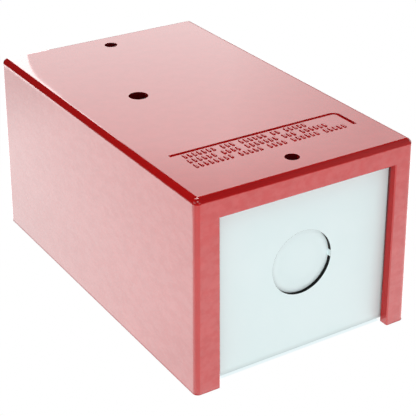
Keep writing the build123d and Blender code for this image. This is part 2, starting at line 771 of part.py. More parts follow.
# ==== Ground screw with its toothed washer ============================================================
with BuildPart() as ground_washer:
    tooth_depth = washer_radius / 6
    with BuildSketch(Plane.XY.offset(sheet)):
        with Locations((ground_x, ground_y)):
            Circle(washer_radius - tooth_depth)
            with PolarLocations(washer_radius - tooth_depth, washer_teeth):
                Rectangle(2 * tooth_depth, tooth_depth)
            Circle(ground_radius + clearance, mode=Mode.SUBTRACT)
    extrude(amount=washer_thickness)
save(ground_washer, "ground_washer")

with BuildPart() as ground_screw:
    head_z = sheet + washer_thickness
    flange_z = head_z + ground_flange_height
    for start, end, radius in ((clearance, head_z, ground_radius), (head_z, flange_z, ground_flange_radius)):
        with BuildSketch(Plane.XY.offset(start)):
            with Locations((ground_x, ground_y)):
                Circle(radius)
        extrude(amount=end - start)
    with BuildSketch(Plane.XY.offset(head_z)):
        with Locations((ground_x, ground_y)):
            RegularPolygon(ground_across_flats / 2, side_count=6, major_radius=False)
    extrude(amount=ground_head_height)
    with BuildSketch(Plane.XY.offset(head_z + ground_head_height)):
        with Locations((ground_x, ground_y)):
            Rectangle(2 * ground_flange_radius, 1.2)
    extrude(amount=-ground_head_height / 2, mode=Mode.SUBTRACT)
save(ground_screw, "ground_screw")
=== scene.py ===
import json
import math

import bmesh
import bpy
from mathutils import Matrix, Vector


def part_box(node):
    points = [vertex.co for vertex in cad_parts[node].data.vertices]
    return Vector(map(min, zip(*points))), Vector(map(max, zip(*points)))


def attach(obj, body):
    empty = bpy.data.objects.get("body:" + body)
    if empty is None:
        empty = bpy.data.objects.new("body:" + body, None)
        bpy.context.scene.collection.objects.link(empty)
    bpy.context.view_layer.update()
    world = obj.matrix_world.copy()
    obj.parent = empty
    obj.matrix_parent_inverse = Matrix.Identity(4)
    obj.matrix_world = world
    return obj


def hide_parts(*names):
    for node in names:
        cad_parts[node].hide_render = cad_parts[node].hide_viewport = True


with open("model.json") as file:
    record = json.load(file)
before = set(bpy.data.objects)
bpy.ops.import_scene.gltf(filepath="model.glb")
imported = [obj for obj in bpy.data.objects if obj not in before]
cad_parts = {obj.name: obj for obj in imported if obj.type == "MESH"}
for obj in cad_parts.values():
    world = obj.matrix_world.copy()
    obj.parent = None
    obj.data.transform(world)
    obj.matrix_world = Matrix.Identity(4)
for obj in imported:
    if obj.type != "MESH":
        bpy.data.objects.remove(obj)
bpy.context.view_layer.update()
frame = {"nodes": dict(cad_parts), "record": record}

MM = 0.001
COVER_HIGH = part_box("cover")[1]

# Places on the solids that the finishes and the floor follow. The holes are (x, y, radius) in millimetres.
BORE_RADIUS = 11.2 * MM
BORE_X, BORE_HEIGHT = 0.85 * MM, 32.6 * MM
SCREW_SPAN, SCREW_HOLE_RADIUS = 116.6, 2.4
VIEW_X, VIEW_Y, VIEW_HOLE_RADIUS = -15.7, 9.2, 3.375
TOP_HOLES = (
    (0.0, -SCREW_SPAN / 2, SCREW_HOLE_RADIUS),
    (VIEW_X, VIEW_Y, VIEW_HOLE_RADIUS),
    (0.0, SCREW_SPAN / 2, SCREW_HOLE_RADIUS),
)
OUTER_WALL_X, OUTER_WALL_Y = 38.0 * MM, 66.6 * MM
PLATE_Y = 64.15 * MM
WINDOW_X, WINDOW_HALF = 0.8 * MM, 33.0 * MM


# ---- Node helpers ------------------------------------------------------------------------------------
class Nodes:
    """A node tree with short calls for the nodes that this script uses."""

    def __init__(self, tree):
        self.tree = tree

    def feed(self, socket, value):
        """Link a socket to another node's output, or set its value; a colour is a triple."""
        if isinstance(value, bpy.types.NodeSocket):
            self.tree.links.new(value, socket)
        elif socket.type == "RGBA":
            socket.default_value = (*value, 1.0)
        else:
            socket.default_value = value

    def node(self, kind, **inputs):
        """Add a node and set or link the named inputs, with spaces written as underscores."""
        made = self.tree.nodes.new(kind)
        for key, value in inputs.items():
            self.feed(made.inputs[key.replace("_", " ")], value)
        return made

    def math(self, operation, *values):
        """Do arithmetic on numbers and outputs."""
        made = self.tree.nodes.new("ShaderNodeMath")
        made.operation = operation
        for socket, value in zip(made.inputs, values):
            self.feed(socket, value)
        return made.outputs[0]

    def product(self, first, *others):
        """Multiply two or more numbers or outputs."""
        for value in others:
            first = self.math("MULTIPLY", first, value)
        return first

    def distance(self, x, y, centre_x, centre_y):
        """How far a place lies from a centre, in one plane."""
        across = self.math("POWER", self.math("SUBTRACT", x, centre_x), 2.0)
        along = self.math("POWER", self.math("SUBTRACT", y, centre_y), 2.0)
        return self.math("SQRT", self.math("ADD", across, along))

    def between(self, value, low, high, to_low=0.0, to_high=1.0):
        """Map a value's range from low and high to another, clamped and smooth."""
        made = self.node(
            "ShaderNodeMapRange",
            Value=value,
            From_Min=low,
            From_Max=high,
            To_Min=to_low,
            To_Max=to_high,
        )
        made.interpolation_type = "SMOOTHSTEP"
        return made.outputs["Result"]

    def ramp(self, value, low, high, to_low=0.0, to_high=1.0):
        """Map a value's range from low and high to another, clamped and straight."""
        result = self.between(value, low, high, to_low, to_high)
        result.node.interpolation_type = "LINEAR"
        return result

    def mix(self, share, first, second):
        """Mix two colours, each a triple or an output."""
        made = self.tree.nodes.new("ShaderNodeMix")
        made.data_type = "RGBA"
        for socket, value in zip((made.inputs[0], made.inputs[6], made.inputs[7]), (share, first, second)):
            self.feed(socket, value)
        return made.outputs[2]

    def bump(self, height, strength, distance, under=None):
        """Turn a height into a surface normal, over another bump where there is one."""
        made = self.node("ShaderNodeBump", Height=height, Strength=strength, Distance=distance)
        if under:
            self.feed(made.inputs["Normal"], under)
        return made.outputs["Normal"]

    def light_path(self):
        """The outputs that tell camera, diffuse and glossy rays apart."""
        return self.node("ShaderNodeLightPath").outputs


class Finish(Nodes):
    """A material's node tree, with the object's own coordinates and its shader."""

    def __init__(self, name):
        self.material = bpy.data.materials.new(name)
        self.material.use_nodes = True
        super().__init__(self.material.node_tree)
        self.shader = self.tree.nodes["Principled BSDF"]
        coordinates = self.tree.nodes.new("ShaderNodeTexCoord")
        self.place = coordinates.outputs["Object"]
        self.normal = coordinates.outputs["Normal"]

    def split(self, vector=None):
        """The x, y and z outputs of a vector, the object's own place by default."""
        return self.node("ShaderNodeSeparateXYZ", Vector=vector or self.place).outputs

    def stretched(self, scale):
        """The object's place scaled by a vector, for grain that runs one way."""
        return self.node("ShaderNodeMapping", Vector=self.place, Scale=scale).outputs["Vector"]

    def noise(self, scale, detail=3.0, roughness=0.5, vector=None):
        """Cloudy noise, finer with a larger scale."""
        made = self.node(
            "ShaderNodeTexNoise",
            Vector=vector or self.place,
            Scale=scale,
            Detail=detail,
            Roughness=roughness,
        )
        return made.outputs["Fac"]

    def surface(self, colour, roughness, normal, **fixed):
        """Give the shader its colour, roughness, normal and any other inputs, and return the material."""
        inputs = {"Base Color": colour, "Roughness": roughness, "Normal": normal, **fixed}
        for name, value in inputs.items():
            self.feed(self.shader.inputs[name], value)
        return self.material

    def glow(self, colour, strength):
        """Make the material only give light, and return it."""
        self.tree.nodes.remove(self.shader)
        emission = self.node("ShaderNodeEmission", Color=colour, Strength=strength)
        self.feed(self.tree.nodes["Material Output"].inputs["Surface"], emission.outputs["Emission"])
        return self.material


# ---- Finishes ----------------------------------------------------------------------------------------
WHITE = (1.0, 1.0, 1.0)
# Noise lies mostly between these values. The first pair blends two tones, the second sets roughness.
TONE_RANGE, GRAIN_RANGE = (0.35, 0.65), (0.3, 0.7)

RED, PALER_RED = (0.535, 0.0085, 0.0085), (0.565, 0.0115, 0.0115)
COVER_ROUGHNESS, COVER_IOR = (0.018, 0.035), 1.5
# Painted shade: a deeper red on the top's rounded edges, deeper still where they turn to the ends, fading
# from the left end to the right.
ROUNDED_EDGE_SHADE = (0.53, 0.007, 0.007)
END_EDGE_SHADE, END_EDGE_PALER_SHADE = (0.37, 0.008, 0.009), (0.40, 0.03, 0.03)
# Painted shade: the walls of the top's holes are near black below the face.
HOLE_SHADE = (0.09, 0.0015, 0.003)
HOLE_MARGIN, HOLE_DEPTH = 0.1 * MM, 0.04 * MM
# Painted shade on the window's inner walls, darkest in a band by the end plates.
INNER_SHADE, INNER_DEPTH_SHADE = (0.45, 0.005, 0.006), (0.07, 0.012, 0.014)
INNER_SHARE, DEPTH_SHARE = 0.6, 0.9
OUTER_SPECULAR, INNER_SPECULAR = 0.5, 0.3
DARK_START, DARK_END = (PLATE_Y - 0.6 * MM, PLATE_Y - 0.1 * MM), (PLATE_Y + 0.7 * MM, PLATE_Y + 1.7 * MM)
# Painted sheen: a pale colour mixed in blotches over the outer walls, more on the long walls than on the
# ends.
SHEEN_COLOUR, LONG_SHEEN, END_SHEEN = (0.94, 0.45, 0.45), 0.23, 0.155
BLOTCH_SCALE, BLOTCH_RANGE, SHEEN_RANGE = (300.0, 210.0, 400.0), (0.34, 0.66), (0.31, 0.69)
# How squarely a face looks along an axis, as the size of its normal's part: the outer walls, the inner
# walls, the turn from a side's edge to an end's, and both ends of the top's rounded edge.
WALL_FACING, INNER_FACING, END_FACING = (0.97, 0.995), (0.95, 0.99), (0.1, 0.5)
EDGE_LOW_FACING, EDGE_HIGH_FACING = (0.10, 0.25), (0.985, 0.93)

# The last colour here is painted light on the knockout's disc, paler towards its rim.
PLATE, PALER_PLATE, RIM_LIGHT_PLATE = (0.743, 0.870, 0.875), (0.763, 0.880, 0.885), (0.84, 0.965, 0.97)
# Painted shade: a dark band low on each end plate by its fold, and near black on the sheared wall of each
# bore.
FOLD_SHADE, FOLD_SHADE_SHARE, BORE_SHADE = (0.05, 0.08, 0.08), 0.15, (0.002, 0.003, 0.003)
FOLD_TOP, FOLD_FOOT = (2.8 * MM, 1.2 * MM), (0.0, 0.9 * MM)
BORE_MARGIN, PLATE_START = 0.03 * MM, 60 * MM
RIM_START, RIM_END = BORE_RADIUS - 4.2 * MM, BORE_RADIUS - 1.1 * MM
PLATE_ROUGHNESS, PLATE_IOR = (0.38, 0.5), 1.45
METAL_GRAIN_SCALE = (300.0, 300.0, 1500.0)


def inside_top_holes(n, x, y, z):
    """1 on the walls of the three holes in the cover's top, just below its face, and 0 elsewhere."""
    inside = 0.0
    for hole_x, hole_y, radius in TOP_HOLES:
        away = n.distance(x, y, hole_x * MM, hole_y * MM)
        inside = n.math("MAXIMUM", inside, n.math("LESS_THAN", away, radius * MM + HOLE_MARGIN))
    return n.product(inside, n.math("LESS_THAN", z, COVER_HIGH.z - HOLE_DEPTH))


def cover_plastic():
    """Glossy moulded red, with a pale painted sheen in blotches on the outer walls and painted shade that
    deepens the top's rounded edges.
    """
    n = Finish("cover_plastic")
    x, y, z = n.split()
    x_normal, y_normal, z_normal = n.split(n.normal)
    across, depth = n.math("ABSOLUTE", x), n.math("ABSOLUTE", y)
    x_facing, y_facing = n.math("ABSOLUTE", x_normal), n.math("ABSOLUTE", y_normal)
    waves = n.noise(scale=210.0, detail=2.0)
    grain = n.noise(scale=900.0, roughness=0.6)
    colour = n.mix(n.between(waves, *TONE_RANGE), RED, PALER_RED)

    # Painted shade: the top's rounded edges are mixed to a deeper red, deeper still at the ends and paler
    # towards the right.
    rounded = n.product(n.between(z_normal, *EDGE_LOW_FACING), n.between(z_normal, *EDGE_HIGH_FACING))
    end_edge_shade = n.mix(n.between(x, -COVER_HIGH.x, COVER_HIGH.x), END_EDGE_SHADE, END_EDGE_PALER_SHADE)
    edge = n.mix(n.between(y_facing, *END_FACING), ROUNDED_EDGE_SHADE, end_edge_shade)
    colour = n.mix(rounded, colour, edge)

    long_wall = n.product(n.between(x_facing, *WALL_FACING), n.math("GREATER_THAN", across, OUTER_WALL_X))
    end_wall = n.product(n.between(y_facing, *WALL_FACING), n.math("GREATER_THAN", depth, OUTER_WALL_Y))
    # Painted sheen: pale blotches over the outer walls that add to their shine.
    blotches = n.noise(scale=1.0, roughness=0.55, vector=n.stretched(BLOTCH_SCALE))
    share = n.math("MULTIPLY_ADD", long_wall, LONG_SHEEN, n.product(end_wall, END_SHEEN))
    sheen = n.product(n.between(blotches, *BLOTCH_RANGE, *SHEEN_RANGE), share)
    colour = n.mix(sheen, colour, SHEEN_COLOUR)
    # Painted shade: the walls of the top holes are mixed to near black.
    colour = n.mix(inside_top_holes(n, x, y, z), colour, HOLE_SHADE)

    # Painted shade: the inner walls are darker all over, and darkest in a narrow upright band just outside
    # each end plate.
    inner = n.product(n.between(x_facing, *INNER_FACING), n.math("LESS_THAN", across, OUTER_WALL_X))
    colour = n.mix(n.product(inner, INNER_SHARE), colour, INNER_SHADE)
    deep_shade = n.product(n.between(depth, *DARK_START), n.between(depth, *DARK_END, DEPTH_SHARE, 0.0))
    colour = n.mix(n.product(inner, deep_shade), colour, INNER_DEPTH_SHADE)

    n.feed(n.shader.inputs["Specular IOR Level"], n.ramp(inner, 0.0, 1.0, OUTER_SPECULAR, INNER_SPECULAR))
    wall = n.math("ADD", long_wall, end_wall)
    normal = n.bump(n.product(waves, wall), strength=0.005, distance=1.0 * MM)
    normal = n.bump(n.product(grain, wall), strength=0.01, distance=0.3 * MM, under=normal)
    return n.surface(colour, n.between(grain, *GRAIN_RANGE, *COVER_ROUGHNESS), normal, IOR=COVER_IOR)


def plate_look(n):
    """The pale plate's colour, roughness and normal."""
    clouds = n.noise(scale=45.0, detail=4.0)
    grain = n.noise(scale=1400.0, detail=2.0)
    colour = n.mix(n.between(clouds, *TONE_RANGE), PLATE, PALER_PLATE)
    roughness = n.between(grain, *GRAIN_RANGE, *PLATE_ROUGHNESS)
    return colour, roughness, n.bump(grain, strength=0.05, distance=0.1 * MM)


def plated_steel():
    """Pale blue-white plate, with painted shade: near black on the sheared wall of each conduit bore, and a
    faint dark band low on each end plate by its fold.
    """
    n = Finish("plated_steel")
    x, y, z = n.split()
    colour, roughness, normal = plate_look(n)
    at_end = n.math("GREATER_THAN", n.math("ABSOLUTE", y), PLATE_START)
    # Painted shade: a faint dark band low on each end plate, strongest just above its foot.
    fold_shade = n.product(n.between(z, *FOLD_TOP), n.between(z, *FOLD_FOOT), at_end)
    colour = n.mix(n.product(fold_shade, FOLD_SHADE_SHARE), colour, FOLD_SHADE)
    # Painted shade: each bore's sheared wall is near black and fully rough.
    away = n.distance(x, z, BORE_X, BORE_HEIGHT)
    wall = n.product(n.math("LESS_THAN", away, BORE_RADIUS + BORE_MARGIN), at_end)
    colour = n.mix(wall, colour, BORE_SHADE)
    return n.surface(colour, n.math("MAXIMUM", roughness, wall), normal, IOR=PLATE_IOR)


def knockout_steel():
    """The same plate on a knockout, with painted light that makes it a little paler towards the disc's rim,
    against the shade that the plate's edge casts there.
    """
    n = Finish("knockout_steel")
    x, _, z = n.split()
    colour, roughness, normal = plate_look(n)
    # Painted light: paler towards the disc's rim, where the plate's edge shades it.
    rim = n.math("POWER", n.ramp(n.distance(x, z, BORE_X, BORE_HEIGHT), RIM_START, RIM_END), 2.0)
    return n.surface(n.mix(rim, colour, RIM_LIGHT_PLATE), roughness, normal, IOR=PLATE_IOR)


def moulding(name, low, high, roughness=(0.3, 0.42)):
    """A moulded plastic between two colours, with fine grain."""
    n = Finish(name)
    tone = n.between(n.noise(scale=120.0, detail=4.0), *TONE_RANGE)
    speck = n.noise(scale=1600.0, roughness=0.6)
    shine = n.between(speck, *GRAIN_RANGE, *roughness)
    normal = n.bump(speck, strength=0.12, distance=0.1 * MM)
    return n.surface(n.mix(tone, low, high), shine, normal)


def metal(name, low, high, roughness=(0.22, 0.36)):
    """A plated or bare metal between two colours, with drawn or rolled grain."""
    n = Finish(name)
    grain = n.noise(scale=1.0, vector=n.stretched(METAL_GRAIN_SCALE))
    tone = n.between(n.noise(scale=150.0, detail=4.0), *TONE_RANGE)
    shine = n.between(grain, *GRAIN_RANGE, *roughness)
    normal = n.bump(grain, strength=0.08, distance=0.05 * MM)
    return n.surface(n.mix(tone, low, high), shine, normal, Metallic=1.0)


# Two colours for each, and a roughness range where it isn't the usual one.
MOULDINGS = {
    "insulating_board": ((0.42, 0.39, 0.29), (0.52, 0.49, 0.38), (0.6, 0.8)),
    "circuit_board": ((0.012, 0.10, 0.035), (0.02, 0.14, 0.05), (0.25, 0.4)),
    "trace_mask": ((0.03, 0.20, 0.07), (0.045, 0.26, 0.10), (0.22, 0.34)),
    "board_legend": ((0.72, 0.72, 0.68), (0.80, 0.80, 0.76), (0.5, 0.65)),
    "black_moulding": ((0.012, 0.012, 0.013), (0.02, 0.02, 0.022), (0.35, 0.5)),
    "bobbin_plastic": ((0.66, 0.62, 0.50), (0.74, 0.70, 0.58)),
    "carrier_plastic": ((0.09, 0.03, 0.012), (0.14, 0.05, 0.02)),
    "lamp_lens": ((0.62, 0.03, 0.02), (0.70, 0.05, 0.03), (0.05, 0.1)),
    "capacitor_sleeve": ((0.008, 0.012, 0.05), (0.014, 0.02, 0.075), (0.2, 0.3)),
    "varistor_lacquer": ((0.01, 0.06, 0.24), (0.02, 0.09, 0.32), (0.15, 0.3)),
    "resistor_ceramic": ((0.16, 0.22, 0.17), (0.22, 0.29, 0.22), (0.5, 0.7)),
    "band_brown": ((0.10, 0.03, 0.01), (0.14, 0.045, 0.015)),
    "diode_epoxy": ((0.012, 0.012, 0.012), (0.022, 0.022, 0.022), (0.35, 0.5)),
}
METALS = {
    "standoff_metal": ((0.74, 0.73, 0.70), (0.82, 0.81, 0.78)),
    "screw_steel": ((0.60, 0.60, 0.60), (0.72, 0.72, 0.72)),
    "relay_iron": ((0.60, 0.60, 0.59), (0.72, 0.72, 0.70), (0.28, 0.42)),
    "coil_copper": ((0.52, 0.17, 0.06), (0.66, 0.25, 0.10), (0.2, 0.34)),
    "contact_metal": ((0.80, 0.76, 0.66), (0.90, 0.87, 0.78), (0.18, 0.3)),
    "spring_bronze": ((0.66, 0.40, 0.18), (0.76, 0.50, 0.26), (0.18, 0.3)),
    "terminal_metal": ((0.70, 0.66, 0.56), (0.80, 0.76, 0.66)),
    "ground_green": ((0.02, 0.26, 0.08), (0.03, 0.34, 0.11), (0.2, 0.32)),
}
FINISHES = {
    "cover_plastic": cover_plastic(),
    "plated_steel": plated_steel(),
    "knockout_steel": knockout_steel(),
    **{name: moulding(name, *look) for name, look in MOULDINGS.items()},
    **{name: metal(name, *look) for name, look in METALS.items()},
}


def dress_nodes():
    """Give every CAD node the finish that the record names for it, and each knockout its own."""
    slots = {part["node"]: part["material_slot"] for part in frame["record"]["subparts"]}
    for name, obj in frame["nodes"].items():
        finish = "knockout_steel" if name in ("front_knockout", "rear_knockout") else slots[name]
        obj.data.materials.clear()
        obj.data.materials.append(FINISHES[finish])


# ---- Mesh helpers ------------------------------------------------------------------------------------
SHARP_ANGLE = 35.0
MITRE_LIMIT = 0.3


def piece(name, mesh, finish, body):
    """Turn a bmesh into a piece of the object that rides on a body and shades smoothly over its curves."""
    mesh.normal_update()
    data = bpy.data.meshes.new(name)
    mesh.to_mesh(data)
    mesh.free()
    data.shade_smooth()
    data.set_sharp_from_angle(angle=math.radians(SHARP_ANGLE))
    made = bpy.data.objects.new(name, data)
    bpy.context.collection.objects.link(made)
    data.materials.append(FINISHES[finish])
    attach(made, body)
    return made


def add_face(mesh, corners):
    """Add a face with corners of its own."""
    mesh.faces.new([mesh.verts.new(corner) for corner in corners])


def add_box(mesh, low, high, rounding):
    """Add a box between two corners, with its upright and top edges rounded."""
    size = high - low
    place = Matrix.Translation((low + high) / 2) @ Matrix.Diagonal((*size, 1.0))
    made = bmesh.ops.create_cube(mesh, size=1.0, matrix=place)
    middle = low.z + 0.5 * size.z
    edges = {edge for vert in made["verts"] for edge in vert.link_edges}
    edges = [edge for edge in edges if max(vert.co.z for vert in edge.verts) > middle]
    bmesh.ops.bevel(mesh, geom=edges, offset=rounding, segments=3, profile=0.5, affect="EDGES")


def add_lathe(mesh, profile, centre, axis="Z", segments=40, start=0.0, sweep=360.0):
    """Revolve (radius, height) points about a line through a centre, along Z or Y."""
    whole = sweep >= 360.0
    count = segments if whole else segments + 1
    rings = []
    for n in range(count):
        angle = math.radians(start + sweep * n / segments)
        ring = []
        for radius, height in profile:
            across, around = radius * math.cos(angle), radius * math.sin(angle)
            offset = (across, around, height) if axis == "Z" else (across, height, around)
            ring.append(mesh.verts.new(Vector(centre) + Vector(offset)))
        rings.append(ring)
    pairs = zip(rings, rings[1:] + rings[:1]) if whole else zip(rings, rings[1:])
    for first, second in pairs:
        for n in range(len(profile) - 1):
            corners = (first[n], second[n], second[n + 1], first[n + 1])
            mesh.faces.new(corners if axis == "Z" else corners[::-1])


def add_ribbon(mesh, points, width, floor_z, thickness):
    """Lay a flat strip with mitred corners along a line of (x, y) points, at a height."""
    line = [Vector(point) for point in points]
    sides = []
    for n, point in enumerate(line):
        before = (point - line[n - 1]).normalized() if n else (line[1] - point).normalized()
        after = (line[n + 1] - point).normalized() if n + 1 < len(line) else before
        along = (before + after).normalized()
        normal = Vector((-along.y, along.x))
        reach = width / 2 / max(normal.dot(Vector((-after.y, after.x))), MITRE_LIMIT)
        sides.append((point + normal * reach, point - normal * reach))
    top_z = floor_z + thickness
    for (left, right), (next_left, next_right) in zip(sides, sides[1:]):
        add_face(mesh, [(*corner, top_z) for corner in (right, next_right, next_left, left)])
        for a, b in ((right, next_right), (next_left, left)):
            add_face(mesh, [(*a, floor_z), (*b, floor_z), (*b, top_z), (*a, top_z)])


def arc(centre_x, centre_y, radius, start, end, steps):
    """Points along an arc from one angle to another, in degrees."""
    angles = [math.radians(start + (end - start) * n / steps) for n in range(steps + 1)]
    return [(centre_x + radius * math.cos(a), centre_y + radius * math.sin(a)) for a in angles]


def outline_box(x, y, half_width, half_length):
    """A closed rectangle as a line of points."""
    corners = ((-1, -1), (1, -1), (1, 1), (-1, 1), (-1, -1))
    return [(x + a * half_width, y + b * half_length) for a, b in corners]


def outline_circle(x, y, radius):
    """A closed circle as a line of points."""
    return arc(x, y, radius, start=0.0, end=360.0, steps=48)


# ---- Cover: plain moulded strokes in the place of the notice ------------------------------------------
# Each row is its left and right end, its y, and how many strokes each of its groups has.
STROKE_ROWS = (
    (-28.4, 17.8, -40.7, (7, 3, 6, 2, 5)),
    (-28.9, 23.4, -44.4, (6, 4, 7, 3, 6)),
    (-28.9, 28.4, -48.1, (8, 5, 4, 6, 5)),
)
STROKE_WIDTH, STROKE_LENGTH, STROKE_HEIGHT, STROKE_ROUNDING = 0.95, 2.5, 0.3, 0.2
STROKE_SINK = 0.02


def moulded_strokes():
    """Three rows of plain upright strokes raised on the top, where the real cover has its notice."""
    mesh = bmesh.new()
    corner = Vector((STROKE_WIDTH / 2, STROKE_LENGTH / 2, 0.0)) * MM
    foot_z = COVER_HIGH.z - STROKE_SINK * MM
    for left, right, y, groups in STROKE_ROWS:
        pitch = (right - left) / (sum(groups) + len(groups) - 1)
        place = 0
        for count in groups:
            for _ in range(count):
                middle = Vector(((left + (place + 0.5) * pitch) * MM, y * MM, foot_z))
                top = Vector((0.0, 0.0, STROKE_HEIGHT * MM))
                add_box(mesh, middle - corner, middle + corner + top, STROKE_ROUNDING * MM)
                place += 1
            place += 1
    piece("moulded_strokes", mesh, "cover_plastic", "cover")


# ---- Relay: the wound coil ---------------------------------------------------------------------------
COIL_TURNS, COIL_SEGMENTS, WIRE_STEPS = 44, 72, 6
WIRE_SWELL = 0.2 * MM
COIL_END_SHARE = 0.75


def relay_coil():
    """The winding's outside as close helical turns of wire, with a short flat end above and below."""
    low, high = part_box("relay_winding")
    centre = (low + high) / 2
    radius = (high.x - low.x) / 2
    pitch = (high.z - low.z) / COIL_TURNS
    swells = [abs(math.sin(math.pi * m / WIRE_STEPS)) for m in range(WIRE_STEPS)]
    wire = [radius - WIRE_SWELL * (1.0 - swell) for swell in swells]
    mesh = bmesh.new()
    rings = []
    for n in range(COIL_SEGMENTS + 1):
        turn = n / COIL_SEGMENTS
        across, along = math.cos(2.0 * math.pi * turn), math.sin(2.0 * math.pi * turn)
        line = [(COIL_END_SHARE * radius, low.z)]
        for m in range(COIL_TURNS * WIRE_STEPS + 1):
            height = low.z + pitch * (m / WIRE_STEPS + turn)
            line.append((wire[m % WIRE_STEPS], min(height, high.z)))
        line.append((COIL_END_SHARE * radius, high.z))
        rings.append([mesh.verts.new((centre.x + r * across, centre.y + r * along, z)) for r, z in line])
    for first, second in zip(rings, rings[1:]):
        for m in range(len(first) - 1):
            mesh.faces.new((first[m], second[m], second[m + 1], first[m + 1]))
    coil = piece("winding_turns", mesh, "coil_copper", "chassis")
    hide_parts("relay_winding")


# ---- Circuit board: traces, pads and outlines --------------------------------------------------------
# Each trace is its width and its (x, y) points in millimetres.
BOARD_TRACES = (
    (1.4, ((-19.0, -24.0), (-19.0, -20.5), (-13.5, -20.5), (-11.7, -18.7), (-11.7, -17.9))),
    (1.4, ((-9.5, -24.0), (-9.5, -21.0), (-8.3, -19.8), (-8.3, -17.9))),
    (1.2, ((-11.7, -9.7), (-11.7, -7.3))),
    (1.2, ((-8.3, -9.7), (-8.3, -7.3))),
    (1.4, ((-11.7, 0.9), (-11.7, 2.4), (-14.6, 2.4), (-17.5, -0.5), (-18.5, -4.0))),
    (1.2, ((-8.3, 0.9), (-8.3, 3.6), (-5.0, 3.6))),
    (1.4, ((-23.5, 1.7), (-23.5, -2.0))),
    (1.0, ((-29.7, 1.7), (-31.9, -0.5), (-31.9, -19.0), (-28.0, -22.9))),
    (1.4, ((-29.7, 16.3), (-29.7, 19.5), (-26.5, 22.7))),
    (1.4, ((-23.5, 16.3), (-23.5, 18.6), (-19.4, 22.7))),
    (1.4, ((-15.8, 17.4), (-15.8, 20.0), (-13.0, 22.8))),
    (1.4, ((-9.8, 17.4), (-9.8, 22.8))),
    (0.8, ((-18.2, 9.2), (-20.4, 9.2), (-20.4, 1.5), (-18.5, -0.4))),
    (0.8, ((-13.2, 9.2), (-8.5, 9.2), (-6.5, 7.2), (-5.0, 7.2))),
    (1.6, ((0.0, -24.0), (0.0, -20.0))),
    (1.6, ((9.5, -24.0), (9.5, -20.0))),
    (1.6, ((19.0, -24.0), (19.0, -20.0))),
    (1.6, ((0.0, 24.0), (0.0, 20.5), (-1.5, 19.0), (-1.5, 17.0))),
    (1.6, ((9.5, 24.0), (9.5, 17.0))),
    (1.6, ((19.0, 24.0), (19.0, 17.0))),
    (1.0, ((32.7, -16.0), (32.7, 18.8), (28.8, 22.7))),
)
DIODE_X, DIODE_Y, DIODE_REACH = (-11.7, -8.3), (-13.8, -3.2), 4.1
RESISTOR_X, RESISTOR_Y, RESISTOR_REACH = (-29.7, -23.5), 9.0, 7.3
VARISTOR_X, VARISTOR_Y = (-15.8, -9.8), 17.4
CAPACITOR_X, CAPACITOR_Y = -23.0, -9.0
DIODE_OUTLINE, RESISTOR_OUTLINE, VARISTOR_OUTLINE = (1.6, 2.9), (2.6, 6.1), (6.8, 2.6)
CAPACITOR_OUTLINE, LAMP_OUTLINE = 8.7, 3.5
RELAY_OUTLINE = ((32.0, -21.2), (-6.7, -21.2), (-6.7, 18.2), (32.0, 18.2))
BOARD_PADS = (
    [(x, y + side * DIODE_REACH) for x in DIODE_X for y in DIODE_Y for side in (-1, 1)]
    + [(x, RESISTOR_Y + side * RESISTOR_REACH) for x in RESISTOR_X for side in (-1, 1)]
    + [(x, VARISTOR_Y) for x in VARISTOR_X]
)
BOARD_OUTLINES = (
    [outline_box(x, y, *DIODE_OUTLINE) for x in DIODE_X for y in DIODE_Y]
    + [outline_box(x, RESISTOR_Y, *RESISTOR_OUTLINE) for x in RESISTOR_X]
    + [outline_box(sum(VARISTOR_X) / 2, VARISTOR_Y, *VARISTOR_OUTLINE)]
    + [outline_circle(CAPACITOR_X, CAPACITOR_Y, CAPACITOR_OUTLINE)]
    + [outline_circle(VIEW_X, VIEW_Y, LAMP_OUTLINE), RELAY_OUTLINE]
)
TRACE_HEIGHT, OUTLINE_HEIGHT, OUTLINE_WIDTH = 0.04 * MM, 0.05 * MM, 0.25 * MM
PAD_PROFILE = ((1.1, 0.0), (1.05, 0.07), (0.75, 0.16), (0.45, 0.4), (0.0, 0.45))


def in_metres(points):
    """Pairs in millimetres as pairs in metres."""
    return [(a * MM, b * MM) for a, b in points]


def board_marks():
    """Traces, pads and the parts' outlines on the top of the circuit board."""
    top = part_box("circuit_board")[1].z
    traces = bmesh.new()
    for width, points in BOARD_TRACES:
        add_ribbon(traces, in_metres(points), width * MM, top, TRACE_HEIGHT)
    piece("board_traces", traces, "trace_mask", "chassis")
    legend = bmesh.new()
    for points in BOARD_OUTLINES:
        add_ribbon(legend, in_metres(points), OUTLINE_WIDTH, top, OUTLINE_HEIGHT)
    piece("board_outlines", legend, "board_legend", "chassis")
    pads = bmesh.new()
    for x, y in in_metres(BOARD_PADS):
        add_lathe(pads, in_metres(PAD_PROFILE), (x, y, top), segments=20)
    piece("solder_pads", pads, "contact_metal", "chassis")


# ---- Small parts: bands, the capacitor's stripe and its scored top -----------------------------------
MARK_LIFT = 0.02 * MM
RESISTOR_RADIUS, DARK_BANDS, GOLD_BANDS, BAND_WIDTH = 2.2 * MM, (-3.2, -1.8, -0.4), (2.6,), 0.8
DIODE_RADIUS, DIODE_BAND, DIODE_BAND_WIDTH = 1.35 * MM, 1.3, 0.6
STRIPE_FOOT, STRIPE_TOP_GAP, STRIPE_START, STRIPE_SWEEP = 4.4 * MM, 1.2 * MM, 185.0, 50.0
LID_RADIUS, LID_TOP_RADIUS, LID_HEIGHT = 6.7 * MM, 6.3 * MM, 0.15 * MM
SCORE_TURNS, SCORE_LENGTH, SCORE_WIDTH = (90.0, 210.0, 330.0), 4.6 * MM, 0.35 * MM


def add_band(mesh, radius, centre, middle, width, segments):
    """Add a band round a part that lies along Y, its middle and width in millimetres."""
    reach = radius + MARK_LIFT
    band = ((reach, (middle - width / 2) * MM), (reach, (middle + width / 2) * MM))
    add_lathe(mesh, band, centre, axis="Y", segments=segments)


